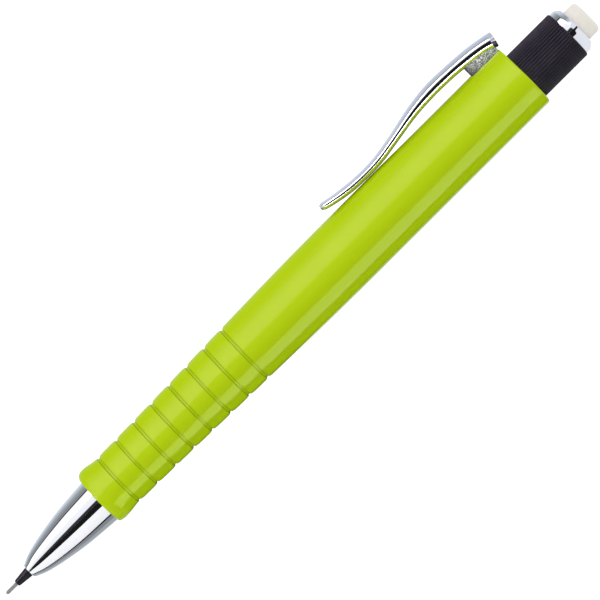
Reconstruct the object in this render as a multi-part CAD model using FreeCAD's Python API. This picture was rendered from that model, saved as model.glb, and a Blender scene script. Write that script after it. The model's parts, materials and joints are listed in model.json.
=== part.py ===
import FreeCAD, Part
import math
import os
from FreeCAD import Vector

# Automatic-feed mechanical pencil with a triangular barrel, in millimetres.
# X runs along the pencil with the lead at -X and the eraser at +X, and Z points up through the clip.
# Every station below is a distance from the lead's point, and every radius is from the pencil's axis.

# Driving dimensions
LENGTH = 145.9
AXIS_HEIGHT = 6.10  # the axis above the barrel's flat underside
LEAD_R = 0.35
SLIDE_GAP = 0.07  # radial clearance of the sliding parts

# Barrel: corner and flat are the distances from the axis to a rounded corner and to a flat
CORNER_FRONT, CORNER_REAR = 5.70, 6.97
FLAT_FRONT, FLAT_REAR = 5.00, AXIS_HEIGHT
BARREL_FRONT, BARREL_REAR = 23.6, 130.5
LIP_AT, LIP_END = 25.1, 28.3
CORNER_LIP, FLAT_LIP = 6.14, 5.30
CORNER_MOUTH, FLAT_MOUTH = 5.05, 4.88
SWELL_START, SWELL_END = 22.0, 88.0
REAR_RIM_R = 0.4
GROOVES, GROOVE_FIRST, GROOVE_PITCH = 8, 28.74, 4.52
GROOVE_WIDTH, GROOVE_DEPTH = 0.6, 0.2

# Bores of the barrel, from the mouth back
MOUTH_R, MOUTH_END = 4.66, 24.25
FRONT_BORE_R, STEP_AT, STEP_END, STEP_R = 3.95, 50.2, 52.0, 3.0
MIDDLE_BORE_R, REAR_BORE_AT, REAR_BORE_R = 4.4, 108.0, 5.15

# Nose cone
CONE_FRONT, CONE_SHOULDER, CONE_TAIL = 5.69, 24.2, 31.0
CONE_R, TAIL_R, THREAD_DEPTH, THREAD_PITCH = 4.58, 3.9, 0.3, 0.75
SLIDER_BORE_R, SLIDER_STEP = 2.0, 8.7

# Sliding tip
SLEEVE_FRONT, SLEEVE_REAR, SLEEVE_R, SLEEVE_FRONT_R = 2.58, 13.0, 0.95, 0.66
SLIDER_FRONT, SLIDER_NECK, SLIDER_REAR = 8.8, 12.5, 17.0
RETAINER_FRONT, RETAINER_REAR, RETAINER_R = 14.4, 16.6, 1.0

# Chuck
HOLDER_FRONT, HOLDER_FLANGE, HOLDER_REAR = 21.0, CONE_TAIL, 32.0
TAPER_START, TAPER_END, TAPER_SLOPE = 24.8, 30.6, 0.14
JAW_FRONT, JAW_NECK, JAW_REAR, JAW_GAP = 25.5, 29.6, 42.2, 0.06
JAW_R, JAW_TAIL_R, JAW_BEAD_R = 1.3, 0.95, 1.2
BALL_AT, BALL_R, BALL_CENTRE_R, BALL_ANGLE = 27.5, 0.6, 1.45, 40.0
SOCKET_FRONT, SOCKET_REAR, SOCKET_FLANGE_R = 39.5, 47.5, 2.4
HOUSING_R, HOUSING_BORE_R, HOUSING_WEB = 3.85, 2.6, 48.2

# Lead magazine
TUBE_FRONT, TUBE_REAR, TUBE_R, TUBE_BORE_R = 43.6, 112.0, 2.2, 1.8
LEAD_REAR = 56.0
SPARE_LEADS, SPARE_FRONT, SPARE_LENGTH = 3, 47.6, 59.9
BUSH_FRONT, BUSH_REAR = 99.0, 104.0

# Eraser unit
PLUG_FRONT, PLUG_REAR, PLUG_R = 107.7, 117.2, 1.77
GUIDE_FRONT, GUIDE_REAR, GUIDE_R, GUIDE_BORE_R = 115.2, 139.9, 3.78, 3.45
SPIRAL_FRONT, SPIRAL_REAR, SPIRAL_R, SPIRAL_BORE_R = 112.6, 139.3, 4.3, 3.85
SPIRAL_PITCH, ERASER_TRAVEL, ERASER_RETRACT = 6.0, 18.0, 1.0
CARRIER_FRONT, CARRIER_REAR, CARRIER_R, LUG_AT, LUG_R = 118.6, 122.6, 3.40, 119.6, 0.36
ERASER_R, ERASER_EDGE_R, ERASER_CUP_R = 3.33, 0.5, 3.0
KNOB_FRONT, KNOB_REAR, KNOB_R, KNOB_FLUTES, FLUTE_DEPTH = 124.6, 141.1, 5.0, 55, 0.18
COLLAR_REAR, COLLAR_R, COLLAR_END_R = 143.06, 4.75, 3.9

# Clip: half widths, sheet thickness, and the height of its pivot above the axis
CLIP_REAR_HALF, CLIP_FRONT_HALF, CLIP_SHEET = 2.5, 2.05, 0.5
FOOT_FRONT, FOOT_REAR, FOOT_HALF, FOOT_TOP = 123.7, 130.3, 1.85, 9.2
TONGUE_FRONT, TONGUE_REAR, TONGUE_HALF, TONGUE_FOOT = 125.0, 129.0, 0.8, 5.65

X_AXIS = Vector(1, 0, 0)
ORIGIN = Vector(0, 0, 0)


def wire_of(points):
    """Closed outline through (station, radius) points in the XZ plane."""
    corners = [Vector(s, 0, r) for s, r in points]
    return Part.makePolygon(corners + corners[:1])


def turned(points):
    """Solid of revolution of an outline about the pencil's axis."""
    return Part.Face(wire_of(points)).revolve(ORIGIN, X_AXIS, 360)


def turned_wire(edges):
    return Part.Face(Part.Wire(edges)).revolve(ORIGIN, X_AXIS, 360)


def line(a, b):
    return Part.makeLine(Vector(a[0], 0, a[1]), Vector(b[0], 0, b[1]))


def bend(a, b, c):
    """Arc from a through b to c, as (station, radius) points."""
    points = [Vector(s, 0, r) for s, r in (a, b, c)]
    return Part.Arc(*points).toShape()


def tube(front, rear, outer, inner):
    return turned([(front, inner), (rear, inner), (rear, outer), (front, outer)])


def rod(front, rear, radius):
    return Part.makeCylinder(radius, rear - front, Vector(front, 0, 0), X_AXIS)


def block(front, rear, half_width, low, high):
    corner = Vector(front, -half_width, low)
    return Part.makeBox(rear - front, 2 * half_width, high - low, corner)


def around(radius, degrees):
    """Point across the axis, at an angle from +Z towards -Y."""
    turn = math.radians(degrees)
    return Vector(0, -radius * math.sin(turn), radius * math.cos(turn))


def coil(front, rear, mean_r, wire_r, turns):
    """Compression spring of round wire along the axis."""
    start, end = front + wire_r, rear - wire_r
    path = Part.makeHelix((end - start) / turns, end - start, mean_r)
    section = Part.Wire(Part.makeCircle(wire_r, Vector(mean_r, 0, 0), Vector(0, 1, 0)))
    spring = Part.Wire(path.Edges).makePipeShell([section], True, True)
    spring.rotate(ORIGIN, Vector(0, 1, 0), 90)
    spring.translate(Vector(start, 0, 0))
    return spring


# ---------------------------------------------------------------- barrel

def section(station, corner, flat):
    """Rounded triangle across the axis, corner up: three arcs joined by tangent flats."""
    centre_r, round_r = 2 * (corner - flat), 2 * flat - corner
    edges = []
    last = None
    for k in range(4):
        centre = around(centre_r, 120 * k)
        arc = [centre + around(round_r, 120 * k + turn) for turn in (-60, 0, 60)]
        arc = [Vector(station, p.y, p.z) for p in arc]
        if last is not None:
            edges.append(Part.makeLine(last, arc[0]))
        if k < 3:
            edges.append(Part.Arc(*arc).toShape())
            last = arc[2]
    return Part.Wire(edges)


def swell(station):
    """Share of the barrel's growth from the grip to its full size."""
    share = (station - SWELL_START) / (SWELL_END - SWELL_START)
    share = min(max(share, 0.0), 1.0)
    return (1 - math.cos(math.pi * share)) / 2


def barrel_size(station):
    """Corner and flat distances of the barrel's outside at a station."""
    corner = CORNER_FRONT + (CORNER_REAR - CORNER_FRONT) * swell(station)
    flat = FLAT_FRONT + (FLAT_REAR - FLAT_FRONT) * swell(station)
    if station >= LIP_END:
        return corner, flat
    if station >= LIP_AT:
        share = (1 + math.cos(math.pi * (station - LIP_AT) / (LIP_END - LIP_AT))) / 2
        return corner + (CORNER_LIP - corner) * share, flat + (FLAT_LIP - flat) * share
    share = math.sqrt(max(0.0, 1 - ((LIP_AT - station) / (LIP_AT - BARREL_FRONT)) ** 2))
    return (CORNER_MOUTH + (CORNER_LIP - CORNER_MOUTH) * share,
            FLAT_MOUTH + (FLAT_LIP - FLAT_MOUTH) * share)


def barrel_loft(start, end, steps):
    stations = [start + (end - start) * k / steps for k in range(steps + 1)]
    return Part.makeLoft([section(s, *barrel_size(s)) for s in stations], True)


def grip_groove(station):
    """What one groove removes: a thin slab round the section, less its core."""
    corner, flat = barrel_size(station)
    half = GROOVE_WIDTH / 2
    core = Part.Face(section(station - half, corner - GROOVE_DEPTH, flat - GROOVE_DEPTH))
    slab = block(station - half, station + half, 9, -9, 9)
    return slab.cut(core.extrude(Vector(GROOVE_WIDTH, 0, 0)))


def barrel_bore():
    rim = 0.3
    return turned([
        (BARREL_FRONT - 1, 0), (BARREL_FRONT - 1, MOUTH_R), (MOUTH_END, MOUTH_R),
        (MOUTH_END, FRONT_BORE_R), (STEP_AT, FRONT_BORE_R), (STEP_AT, STEP_R),
        (STEP_END, STEP_R), (STEP_END, MIDDLE_BORE_R), (REAR_BORE_AT, MIDDLE_BORE_R),
        (REAR_BORE_AT, REAR_BORE_R), (BARREL_REAR - rim, REAR_BORE_R),
        (BARREL_REAR + 1, REAR_BORE_R + rim + 1), (BARREL_REAR + 1, 0),
    ])


def clip_pocket():
    gap = 0.02
    return block(TONGUE_FRONT - gap, TONGUE_REAR + gap, TONGUE_HALF + gap,
                 TONGUE_FOOT - gap, CORNER_REAR + 1)


def make_barrel():
    lip = barrel_loft(BARREL_FRONT, LIP_AT, 6)
    neck = barrel_loft(LIP_AT, LIP_END, 5)
    grip = barrel_loft(LIP_END, SWELL_END, 10)
    rear = Part.Face(section(SWELL_END, CORNER_REAR, FLAT_REAR))
    rear = rear.extrude(Vector(BARREL_REAR - SWELL_END, 0, 0))
    rim = [e for e in rear.Edges if e.BoundBox.XMin > BARREL_REAR - 0.001]
    rear = rear.makeFillet(REAR_RIM_R, rim)
    shell = lip.fuse([neck, grip, rear])
    for k in range(GROOVES):
        shell = shell.cut(grip_groove(GROOVE_FIRST + GROOVE_PITCH * k))
    return shell.cut([barrel_bore(), clip_pocket()])


# ---------------------------------------------------------------- nose and sliding tip

def cone_outside():
    """Ogive from the front rim to the shoulder, as one smooth curve."""
    points = [(6.0, 1.52), (8.0, 2.36), (11.4, 3.18), (16.7, 4.02), (CONE_SHOULDER - 0.7, CONE_R)]
    curve = Part.BSplineCurve()
    curve.interpolate([Vector(s, 0, r) for s, r in points])
    return curve.toShape()


def thread_crests(front, rear, crest):
    """Zigzag outline of the screwed tail, from front to rear."""
    points = []
    count = int((rear - front) / THREAD_PITCH)
    for k in range(count):
        at = front + k * THREAD_PITCH
        points += [(at, crest - THREAD_DEPTH), (at + THREAD_PITCH / 2, crest)]
    return points


def make_nose_cone():
    rim_r = SLEEVE_R + SLIDE_GAP
    shoulder = (CONE_SHOULDER - 0.7, CONE_R)
    tail_bore_r = 3.3
    tail = [(CONE_SHOULDER, CONE_R), (CONE_SHOULDER, TAIL_R - THREAD_DEPTH)]
    tail += thread_crests(CONE_SHOULDER + 0.8, CONE_TAIL - 0.4, TAIL_R)
    tail += [(CONE_TAIL, TAIL_R - THREAD_DEPTH), (CONE_TAIL, tail_bore_r)]
    tail += [(HOLDER_FRONT - 0.1, tail_bore_r), (HOLDER_FRONT - 0.1, SLIDER_BORE_R)]
    tail += [(SLIDER_STEP, SLIDER_BORE_R), (SLIDER_STEP, rim_r), (CONE_FRONT, rim_r)]
    tail += [(CONE_FRONT, rim_r + 0.18)]
    edges = [bend((CONE_FRONT, rim_r + 0.18), (CONE_FRONT + 0.09, 1.40), (6.0, 1.52))]
    edges += [cone_outside()]
    corners = [shoulder] + tail
    edges += [line(a, b) for a, b in zip(corners, corners[1:])]
    return turned_wire(edges)


def make_tip_sleeve():
    bore = LEAD_R + SLIDE_GAP
    full = CONE_FRONT - 0.3
    corners = [(SLEEVE_FRONT + 0.25, SLEEVE_FRONT_R), (full, SLEEVE_R), (SLEEVE_REAR, SLEEVE_R),
               (SLEEVE_REAR, bore), (SLEEVE_FRONT, bore), (SLEEVE_FRONT, bore + 0.06)]
    edges = [line(a, b) for a, b in zip(corners, corners[1:])]
    nose = (SLEEVE_FRONT + 0.07, SLEEVE_FRONT_R - 0.06)
    edges.append(bend(corners[-1], nose, corners[0]))
    return turned_wire(edges)


def make_tip_slider():
    outer, neck, crimp = SLIDER_BORE_R - 0.1, 1.35, 0.8
    return turned([
        (SLIDER_FRONT, SLEEVE_R), (SLEEVE_REAR, SLEEVE_R), (SLEEVE_REAR, 0.5),
        (RETAINER_FRONT, 0.5), (RETAINER_FRONT, RETAINER_R), (RETAINER_REAR, RETAINER_R),
        (RETAINER_REAR, crimp), (SLIDER_REAR, crimp), (SLIDER_REAR, neck),
        (SLIDER_NECK, neck), (SLIDER_NECK, outer), (SLIDER_FRONT, outer),
    ])


def make_lead_retainer():
    """Rubber brake: a thick ring with one narrow lip on the lead."""
    relief, lip = 0.55, LEAD_R + 0.01
    middle = (RETAINER_FRONT + RETAINER_REAR) / 2
    return turned([
        (RETAINER_FRONT, relief), (middle - 0.4, relief), (middle - 0.2, lip),
        (middle + 0.2, lip), (middle + 0.4, relief), (RETAINER_REAR, relief),
        (RETAINER_REAR, RETAINER_R), (RETAINER_FRONT, RETAINER_R),
    ])


def make_lead():
    point = 0.25
    return turned([(0, 0), (0, LEAD_R - 0.12), (point, LEAD_R), (LEAD_REAR, LEAD_R), (LEAD_REAR, 0)])


# ---------------------------------------------------------------- chuck

def make_chuck_holder():
    """Brass holder: an open chamber, then the taper that closes the jaws."""
    hole, chamber, rear_hole = 1.3, 2.75, 1.5
    taper_r = BALL_CENTRE_R + BALL_R + 0.02
    wide = taper_r + TAPER_SLOPE * (BALL_AT - TAPER_START)
    narrow = taper_r - TAPER_SLOPE * (TAPER_END - BALL_AT)
    return turned([
        (HOLDER_FRONT, hole), (HOLDER_FRONT + 0.4, hole), (HOLDER_FRONT + 0.4, chamber),
        (TAPER_START, chamber), (TAPER_START, wide), (TAPER_END, narrow),
        (TAPER_END, rear_hole), (HOLDER_REAR, rear_hole), (HOLDER_REAR, HOUSING_R),
        (HOLDER_FLANGE, HOUSING_R), (HOLDER_FLANGE, 3.2), (HOLDER_FRONT, 3.2),
    ])


def ball_centres(side):
    """The two balls of a jaw, either side of the Y axis; side is 1 at +Y and -1 at -Y."""
    middle = -90 * side
    centres = [around(BALL_CENTRE_R, middle + turn) for turn in (-BALL_ANGLE, BALL_ANGLE)]
    return [Vector(BALL_AT, p.y, p.z) for p in centres]


def make_jaw(side):
    """Half of the split chuck: gripping head, slim tail and the bead that the socket holds."""
    grip, relief, bead = LEAD_R + 0.01, 0.5, JAW_REAR - 0.8
    whole = turned([
        (JAW_FRONT, grip), (29.0, grip), (29.2, relief), (JAW_REAR, relief),
        (JAW_REAR, JAW_BEAD_R), (bead, JAW_BEAD_R), (bead - 0.2, JAW_TAIL_R),
        (JAW_NECK + 0.6, JAW_TAIL_R), (JAW_NECK, JAW_R), (JAW_FRONT + 0.3, JAW_R),
        (JAW_FRONT, JAW_R - 0.3),
    ])
    low = JAW_GAP if side > 0 else -3.0
    half = Part.makeBox(20, 3.0 - JAW_GAP, 6, Vector(JAW_FRONT - 1, low, -3))
    jaw = whole.common(half)
    for centre in ball_centres(side):
        jaw = jaw.cut(Part.makeSphere(BALL_R + 0.01, centre))
    return jaw


def make_balls(side):
    return Part.makeCompound([Part.makeSphere(BALL_R, c) for c in ball_centres(side)])


def make_chuck_socket():
    lip, chamber, throat, funnel = 1.1, 1.3, 0.5, 1.6
    return turned([
        (SOCKET_FRONT, lip), (JAW_REAR - 1.05, lip), (JAW_REAR - 1.05, chamber),
        (JAW_REAR + 0.1, chamber), (JAW_REAR + 0.1, throat), (TUBE_FRONT, throat),
        (SOCKET_REAR, funnel), (SOCKET_REAR, TUBE_BORE_R), (TUBE_FRONT, TUBE_BORE_R),
        (TUBE_FRONT, 2.0), (SOCKET_FRONT + 0.9, 2.0), (SOCKET_FRONT + 0.9, SOCKET_FLANGE_R),
        (SOCKET_FRONT, SOCKET_FLANGE_R),
    ])


def make_spring_housing():
    guide = TUBE_R + 0.08
    return turned([
        (HOLDER_REAR, HOUSING_BORE_R), (HOUSING_WEB, HOUSING_BORE_R), (HOUSING_WEB, guide),
        (STEP_AT, guide), (STEP_AT, HOUSING_R), (HOLDER_REAR, HOUSING_R),
    ])


# ---------------------------------------------------------------- lead magazine

def make_spare_leads():
    """Spare leads lying side by side along the bottom of the magazine."""
    lie = TUBE_BORE_R - LEAD_R - 0.02
    leads = []
    for k in range(SPARE_LEADS):
        place = around(lie, 180 + 30 * (k - (SPARE_LEADS - 1) / 2))
        lead = rod(SPARE_FRONT, SPARE_FRONT + SPARE_LENGTH, LEAD_R)
        lead.translate(place)
        leads.append(lead)
    return Part.makeCompound(leads)


def make_guide_bush():
    """Bush of I section that centres the lead tube in the barrel."""
    hole, hub, rim, web = TUBE_R + 0.08, 2.9, 3.8, 0.6
    middle = (BUSH_FRONT + BUSH_REAR) / 2
    return turned([
        (BUSH_FRONT, hole), (BUSH_REAR, hole), (BUSH_REAR, hub), (middle + web, hub),
        (middle + web, rim), (BUSH_REAR, rim), (BUSH_REAR, MIDDLE_BORE_R),
        (BUSH_FRONT, MIDDLE_BORE_R), (BUSH_FRONT, rim), (middle - web, rim),
        (middle - web, hub), (BUSH_FRONT, hub),
    ])


# ---------------------------------------------------------------- eraser unit

RING_GROOVE_R, RING_AT, RING_SECTION_R = 3.1, 114.0, 0.36


def make_eraser_plug():
    flange = SPIRAL_BORE_R - 0.08
    return turned([
        (PLUG_FRONT, 0), (PLUG_FRONT, PLUG_R - 0.3), (PLUG_FRONT + 0.6, PLUG_R),
        (TUBE_REAR + 0.1, PLUG_R), (TUBE_REAR + 0.1, flange), (RING_AT - 0.6, flange),
        (RING_AT - 0.6, RING_GROOVE_R), (RING_AT + 0.6, RING_GROOVE_R),
        (RING_AT + 0.6, flange), (GUIDE_FRONT, flange), (GUIDE_FRONT, GUIDE_BORE_R),
        (PLUG_REAR, GUIDE_BORE_R), (PLUG_REAR, 0),
    ])


def make_twist_ring():
    ring_r = RING_GROOVE_R + RING_SECTION_R + 0.01
    return Part.makeTorus(ring_r, RING_SECTION_R, Vector(RING_AT, 0, 0), X_AXIS)


def make_eraser_guide():
    """Tube with one straight slot along its top, and a rear flange that keeps the knob on."""
    flange, slot_half = 4.15, 0.5
    body = turned([
        (GUIDE_FRONT, GUIDE_BORE_R), (GUIDE_REAR, GUIDE_BORE_R), (GUIDE_REAR, flange),
        (SPIRAL_REAR + 0.1, flange), (SPIRAL_REAR + 0.1, GUIDE_R), (GUIDE_FRONT, GUIDE_R),
    ])
    front = LUG_AT - ERASER_RETRACT - slot_half
    rear = LUG_AT + ERASER_TRAVEL + slot_half
    return body.cut(block(front, rear, slot_half, 0, GUIDE_R + 0.1))


def spiral_slot():
    """Left-hand helical cut through the spiral tube; it crosses the top where the lug stands."""
    half_width, inner, outer = 0.45, SPIRAL_BORE_R - 0.3, SPIRAL_R + 0.3
    front = LUG_AT - ERASER_RETRACT - 0.1
    height = ERASER_TRAVEL + ERASER_RETRACT + 0.2
    path = Part.makeHelix(SPIRAL_PITCH, height, SPIRAL_R, 0, True)
    corners = [Vector(inner, 0, -half_width), Vector(outer, 0, -half_width),
               Vector(outer, 0, half_width), Vector(inner, 0, half_width)]
    profile = Part.makePolygon(corners + corners[:1])
    cut = Part.Wire(path.Edges).makePipeShell([profile], True, True)
    cut.Placement = FreeCAD.Placement(
        Vector(front, 0, 0),
        FreeCAD.Rotation(Vector(0, 0, 1), Vector(0, -1, 0), X_AXIS, "ZXY"))
    early = 360 * (LUG_AT - front) / SPIRAL_PITCH
    cut.rotate(ORIGIN, X_AXIS, early)
    return cut


def make_spiral_tube():
    body = tube(SPIRAL_FRONT, SPIRAL_REAR, SPIRAL_R, SPIRAL_BORE_R)
    return body.cut(spiral_slot())


def make_eraser_carrier():
    floor = CARRIER_FRONT + 2.0
    cup = turned([
        (CARRIER_FRONT, 0), (floor, 0), (floor, ERASER_CUP_R), (CARRIER_REAR, ERASER_CUP_R),
        (CARRIER_REAR, CARRIER_R), (CARRIER_FRONT, CARRIER_R),
    ])
    lug = Part.makeCylinder(LUG_R, 2.2, Vector(LUG_AT, 0, 2.0), Vector(0, 0, 1))
    return cup.fuse(lug).removeSplitter()


def make_eraser():
    """White stick with rounded rear edge; its front end is squeezed into the carrier's cup."""
    floor = CARRIER_FRONT + 2.0
    edge = LENGTH - ERASER_EDGE_R
    diagonal = ERASER_EDGE_R * (1 - math.sqrt(0.5))
    corners = [(LENGTH, ERASER_R - ERASER_EDGE_R), (LENGTH, 0), (floor, 0), (floor, ERASER_CUP_R),
               (CARRIER_REAR, ERASER_CUP_R), (CARRIER_REAR, ERASER_R), (edge, ERASER_R)]
    edges = [line(a, b) for a, b in zip(corners, corners[1:])]
    edges.append(bend(corners[-1], (LENGTH - diagonal, ERASER_R - diagonal), corners[0]))
    return turned_wire(edges)


def fluted_prism(front, rear):
    """Prism whose outline has a shallow V between each pair of narrow crests."""
    corners = []
    pitch = 360 / KNOB_FLUTES
    for k in range(KNOB_FLUTES):
        for turn, radius in ((-0.25, KNOB_R), (0.25, KNOB_R), (0.5, KNOB_R - FLUTE_DEPTH)):
            across = around(radius, (k + turn) * pitch)
            corners.append(Vector(front, across.y, across.z))
    outline = Part.Face(Part.makePolygon(corners + corners[:1]))
    return outline.extrude(Vector(rear - front, 0, 0))


def make_knob():
    chamfer = 0.25
    body = fluted_prism(KNOB_FRONT, KNOB_REAR).common(turned([
        (KNOB_FRONT, 0), (KNOB_FRONT, KNOB_R - chamfer), (KNOB_FRONT + chamfer, KNOB_R),
        (KNOB_REAR - chamfer, KNOB_R), (KNOB_REAR, KNOB_R - chamfer), (KNOB_REAR, 0),
    ]))
    return body.cut(rod(KNOB_FRONT - 1, KNOB_REAR + 1, SPIRAL_R))


def make_collar():
    hole = ERASER_R + 0.09
    spigot = GUIDE_REAR + 0.1
    edge = 0.85
    diagonal = edge * (1 - math.sqrt(0.5))
    corners = [(COLLAR_REAR, COLLAR_END_R), (COLLAR_REAR, hole), (spigot, hole),
               (spigot, SPIRAL_R), (KNOB_REAR, SPIRAL_R), (KNOB_REAR, COLLAR_R),
               (COLLAR_REAR - edge, COLLAR_R)]
    edges = [line(a, b) for a, b in zip(corners, corners[1:])]
    edges.append(bend(corners[-1], (COLLAR_REAR - diagonal, COLLAR_R - diagonal), corners[0]))
    return turned_wire(edges)


# ---------------------------------------------------------------- clip

CLIP_TOP = [(88.6, 9.75), (92.3, 9.15), (96.4, 8.8), (100.8, 8.85), (106.9, 10.0), (111.7, 10.9),
            (116.5, 11.45), (121.4, 11.4), (126.2, 11.07), (131.0, 10.27)]
CLIP_FOOT_LINE = [(131.0, 7.55), (127.4, 8.3), (121.4, 8.9), (116.5, 8.95), (111.7, 8.65),
                  (105.7, 7.7), (102.0, 7.15), (98.6, 7.02), (94.8, 7.12), (91.2, 7.7), (88.6, 8.3)]


def smooth(points):
    curve = Part.BSplineCurve()
    curve.interpolate([Vector(s, 0, h) for s, h in points])
    return curve.toShape()


def side_profile(top, foot):
    """Face between two smooth lines, closed at the front and the rear."""
    edges = [smooth(top), line(top[-1], foot[0]), smooth(foot), line(foot[-1], top[0])]
    return Part.Face(Part.Wire(edges))


def planform(front, rear, front_half, rear_half):
    """Tapered strip seen from above, tall enough to trim the clip with."""
    corners = [Vector(front, -front_half, 5), Vector(rear, -rear_half, 5),
               Vector(rear, rear_half, 5), Vector(front, front_half, 5)]
    return Part.Face(Part.makePolygon(corners + corners[:1])).extrude(Vector(0, 0, 8))


def across(face, half):
    """Side profile swept across the pencil, from -half to half."""
    face.translate(Vector(0, -half, 0))
    return face.extrude(Vector(0, 2 * half, 0))


def make_clip():
    """Formed steel channel: crowned top, flanges down both sides, closed at both ends."""
    front, rear = CLIP_TOP[0][0], CLIP_TOP[-1][0]
    solid = across(side_profile(CLIP_TOP, CLIP_FOOT_LINE), CLIP_REAR_HALF)
    solid = solid.common(planform(front, rear, CLIP_FRONT_HALF, CLIP_REAR_HALF))
    inner_top = [(s, h - CLIP_SHEET) for s, h in CLIP_TOP[1:-1]]
    inner_top += [(rear - CLIP_SHEET, CLIP_TOP[-1][1] - CLIP_SHEET + 0.08)]
    inner_foot = [(s, h - 1.0) for s, h in CLIP_FOOT_LINE[1:-2]]
    inner_foot = [(rear - CLIP_SHEET, 6.5)] + inner_foot + [(inner_top[0][0], 6.4)]
    inner = across(side_profile(inner_top, inner_foot), CLIP_REAR_HALF)
    inner = inner.common(planform(front, rear, CLIP_FRONT_HALF - CLIP_SHEET,
                                  CLIP_REAR_HALF - CLIP_SHEET))
    return solid.cut(inner)


def make_clip_foot():
    """Block under the clip's root, sitting on the barrel's ridge, with a tongue into its wall."""
    seat = Part.Face(section(FOOT_FRONT - 1, CORNER_REAR + 0.01, FLAT_REAR + 0.01))
    seat = seat.extrude(Vector(FOOT_REAR - FOOT_FRONT + 2, 0, 0))
    top = block(FOOT_FRONT, FOOT_REAR, FOOT_HALF, 6.0, FOOT_TOP)
    slope = Part.Face(wire_of([(FOOT_FRONT - 1, 8.62), (FOOT_FRONT - 1, 12), (FOOT_FRONT + 1.6, 12)]))
    tongue = block(TONGUE_FRONT, TONGUE_REAR, TONGUE_HALF, TONGUE_FOOT, FOOT_TOP - 1)
    body = top.cut(seat).fuse(tongue).removeSplitter()
    return body.cut(across(slope, 3))


PARTS = {
    "barrel": make_barrel,
    "nose_cone": make_nose_cone,
    "tip_sleeve": make_tip_sleeve,
    "tip_slider": make_tip_slider,
    "lead_retainer": make_lead_retainer,
    "tip_spring": lambda: coil(SLIDER_NECK, HOLDER_FRONT, 1.70, 0.13, 6),
    "lead": make_lead,
    "chuck_holder": make_chuck_holder,
    "jaw_left": lambda: make_jaw(1),
    "jaw_right": lambda: make_jaw(-1),
    "balls_left": lambda: make_balls(1),
    "balls_right": lambda: make_balls(-1),
    "chuck_socket": make_chuck_socket,
    "chuck_spring": lambda: coil(HOLDER_REAR, SOCKET_FRONT, 1.85, 0.15, 7),
    "spring_housing": make_spring_housing,
    "lead_tube": lambda: tube(TUBE_FRONT, TUBE_REAR, TUBE_R, TUBE_BORE_R),
    "spare_leads": make_spare_leads,
    "guide_bush": make_guide_bush,
    "eraser_plug": make_eraser_plug,
    "twist_ring": make_twist_ring,
    "eraser_guide": make_eraser_guide,
    "spiral_tube": make_spiral_tube,
    "eraser_carrier": make_eraser_carrier,
    "eraser": make_eraser,
    "knob": make_knob,
    "collar": make_collar,
    "clip_foot": make_clip_foot,
    "clip": make_clip,
}


def main():
    os.makedirs("parts", exist_ok=True)
    for name, make in PARTS.items():
        shape = make()
        shape.translate(Vector(-LENGTH / 2, 0, AXIS_HEIGHT))
        box = shape.BoundBox
        print(f"{name:16s} solids {len(shape.Solids)} valid {shape.isValid()} "
              f"volume {shape.Volume:9.3f} x {box.XMin:8.3f} {box.XMax:8.3f} "
              f"y {box.YMin:7.3f} {box.YMax:7.3f} z {box.ZMin:7.3f} {box.ZMax:7.3f}")
        shape.exportStep(f"parts/{name}.step")


main()
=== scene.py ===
import json
import math

import bmesh
import bpy
from mathutils import Matrix, Vector, noise


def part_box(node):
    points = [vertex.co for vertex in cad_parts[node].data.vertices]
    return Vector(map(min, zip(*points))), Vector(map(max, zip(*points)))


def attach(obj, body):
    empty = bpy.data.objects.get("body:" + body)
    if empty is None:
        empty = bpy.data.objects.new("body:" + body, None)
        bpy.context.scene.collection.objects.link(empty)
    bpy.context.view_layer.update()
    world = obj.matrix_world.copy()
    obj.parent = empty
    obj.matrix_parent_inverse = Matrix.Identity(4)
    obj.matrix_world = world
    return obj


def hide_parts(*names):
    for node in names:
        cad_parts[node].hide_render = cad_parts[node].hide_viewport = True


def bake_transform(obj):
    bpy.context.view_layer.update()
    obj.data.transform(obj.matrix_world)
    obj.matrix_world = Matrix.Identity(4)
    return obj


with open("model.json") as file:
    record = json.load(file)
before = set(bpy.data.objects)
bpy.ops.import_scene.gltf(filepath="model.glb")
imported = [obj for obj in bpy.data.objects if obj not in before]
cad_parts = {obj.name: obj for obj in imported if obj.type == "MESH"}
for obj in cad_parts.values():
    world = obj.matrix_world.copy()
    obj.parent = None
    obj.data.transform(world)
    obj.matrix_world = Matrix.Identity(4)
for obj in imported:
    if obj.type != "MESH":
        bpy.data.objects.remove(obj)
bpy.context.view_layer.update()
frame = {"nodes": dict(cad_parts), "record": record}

# Stations are millimetres from the lead's point along the axis; radii and heights are from the axis.
MM = 0.001
lead_low, lead_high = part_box("lead")
TIP_X = lead_low.x
AXIS_Z = (lead_low.z + lead_high.z) / 2


def station(x):
    """Station, in millimetres, of a place along X."""
    return (x - TIP_X) / MM


def span(node):
    """First and last station of a CAD node."""
    low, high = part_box(node)
    return station(low.x), station(high.x)


def place(s, across, up):
    """Point at a station, with millimetres across the pencil and up from its axis."""
    return Vector((TIP_X + s * MM, across * MM, AXIS_Z + up * MM))


# Driving dimensions that the frame gives
BARREL_FRONT, BARREL_REAR = span("barrel")
CORNER_REAR = (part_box("barrel")[1].z - AXIS_Z) / MM
FLAT_REAR = AXIS_Z / MM
CONE_FRONT, CONE_TAIL = span("nose_cone")
SLEEVE_FRONT, SLEEVE_REAR = span("tip_sleeve")
KNOB_FRONT, KNOB_REAR = span("knob")
KNOB_R = (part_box("knob")[1].z - AXIS_Z) / MM
COLLAR_FRONT, COLLAR_REAR = span("collar")
SPIGOT_R = 4.3    # collar's spigot and the knob's bore
ERASER_FRONT, ERASER_REAR = span("eraser")
FOOT_FRONT, FOOT_REAR = span("clip_foot")

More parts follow.
